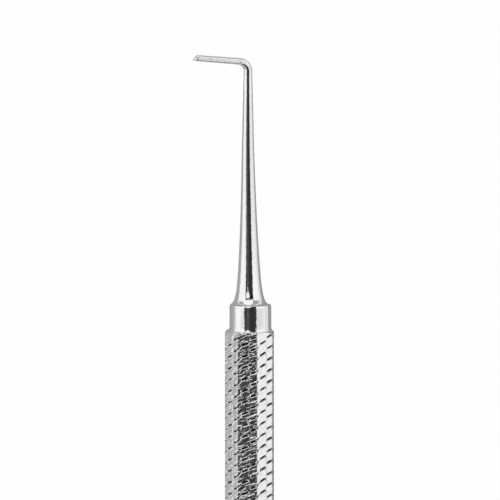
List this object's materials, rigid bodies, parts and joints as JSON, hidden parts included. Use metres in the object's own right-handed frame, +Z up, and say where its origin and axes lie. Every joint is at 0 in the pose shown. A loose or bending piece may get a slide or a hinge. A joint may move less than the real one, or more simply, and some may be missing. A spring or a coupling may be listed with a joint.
{
  "type": "periodontal hoe",
  "caption": "Single-ended steel periodontal hoe: octagonal knurled handle, turned collar, slim tapered shank and a short blade bent across its end with a bevelled cutting edge.",
  "frame": {"origin": "on the handle's bottom flat, halfway between the shoulder and the butt end", "axes": "+Y along the handle's axis towards the working end, +Z up, blade to -X and 22.5 degrees up"},
  "size_m": [0.0106, 0.1436, 0.0067],
  "materials": {
    "polished_steel": "polished stainless steel, fine turning and buffing marks"
  },
  "bodies": {
    "root": {"periodontal_hoe": "polished_steel"}
  },
  "joints": []
}
